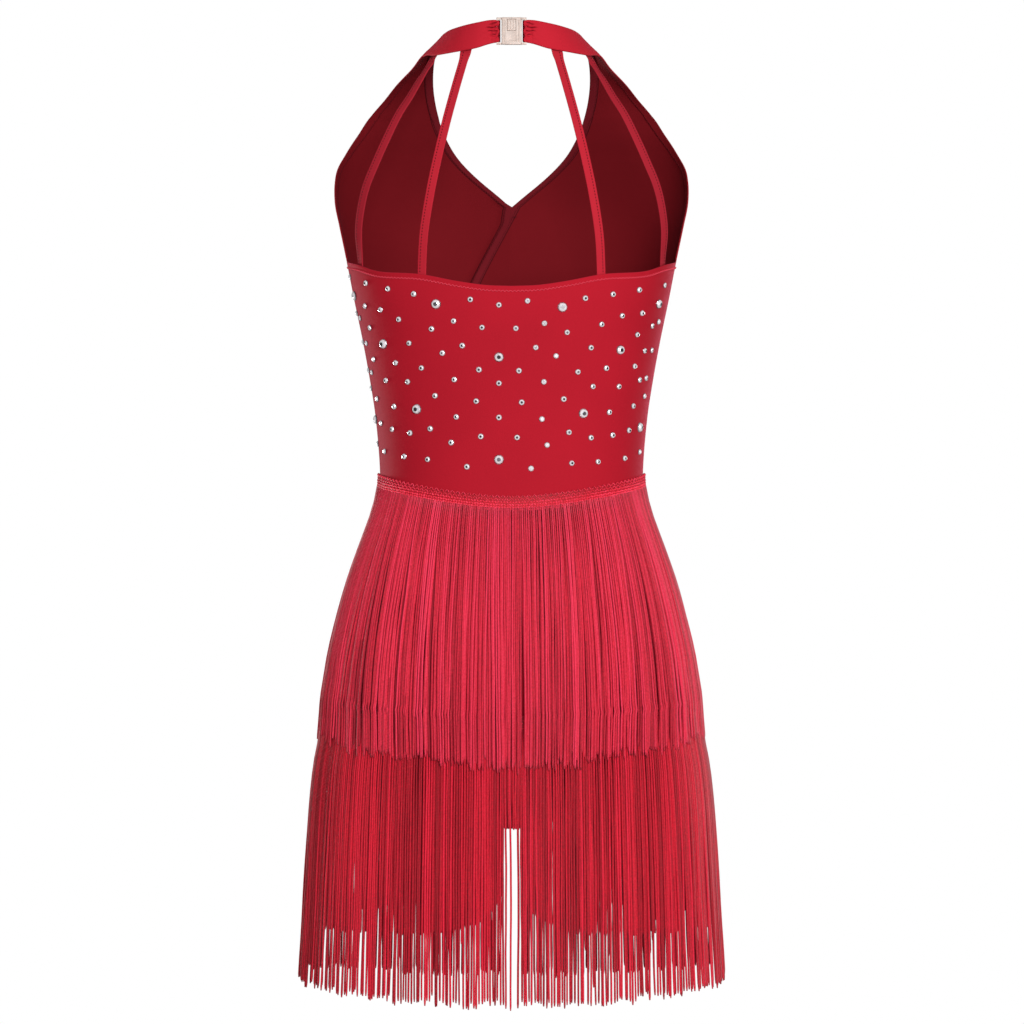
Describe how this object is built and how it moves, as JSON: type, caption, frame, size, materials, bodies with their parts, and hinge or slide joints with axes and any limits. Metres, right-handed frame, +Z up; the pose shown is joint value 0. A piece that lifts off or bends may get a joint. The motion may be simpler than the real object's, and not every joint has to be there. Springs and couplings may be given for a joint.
{
  "type": "latin dance bodysuit",
  "caption": "Halter bodysuit for Latin dance, with a V-neck wrap front, an open back crossed by thin straps, crystals and a skirt of hanging fringe in tiers.",
  "frame": {"origin": "inner face of the clasp at the nape of the neck, where the worn garment hangs from", "axes": "+Z up, -Y the front of the garment, +X the wearer's left"},
  "size_m": [0.3812, 0.2673, 0.8675],
  "materials": {
    "knit": "matt stretch knit with a slight sheen",
    "band_knit": "doubled stretch knit, topstitched",
    "fringe": "rayon yarn with a soft lustre",
    "clasp": "clear plastic, slightly pink",
    "crystal": "faceted, foil backed"
  },
  "bodies": {
    "root": {"front_right": "knit", "front_left": "knit", "back": "knit", "brief_back": "knit", "brief_front": "knit", "gusset": "knit", "neckband_left": "band_knit", "strap_inner_left": "band_knit", "strap_outer_left": "band_knit", "neckband_right": "band_knit", "strap_inner_right": "band_knit", "strap_outer_right": "band_knit", "clasp_socket": "clasp", "clasp_hook": "clasp", "fringe_upper": "fringe", "fringe_lower": "fringe", "crystal_back_1": "crystal", "crystal_back_2": "crystal", "crystal_back_3": "crystal", "crystal_back_4": "crystal", "crystal_back_5": "crystal", "crystal_back_6": "crystal", "crystal_back_7": "crystal", "crystal_back_8": "crystal", "crystal_back_9": "crystal", "crystal_back_10": "crystal", "crystal_back_11": "crystal", "crystal_back_12": "crystal", "crystal_front_1": "crystal", "crystal_front_2": "crystal", "crystal_front_3": "crystal", "crystal_front_4": "crystal", "crystal_front_5": "crystal", "crystal_front_6": "crystal", "crystal_front_7": "crystal", "crystal_front_8": "crystal", "crystal_front_9": "crystal", "crystal_front_10": "crystal", "crystal_front_11": "crystal", "crystal_front_12": "crystal"}
  },
  "joints": []
}
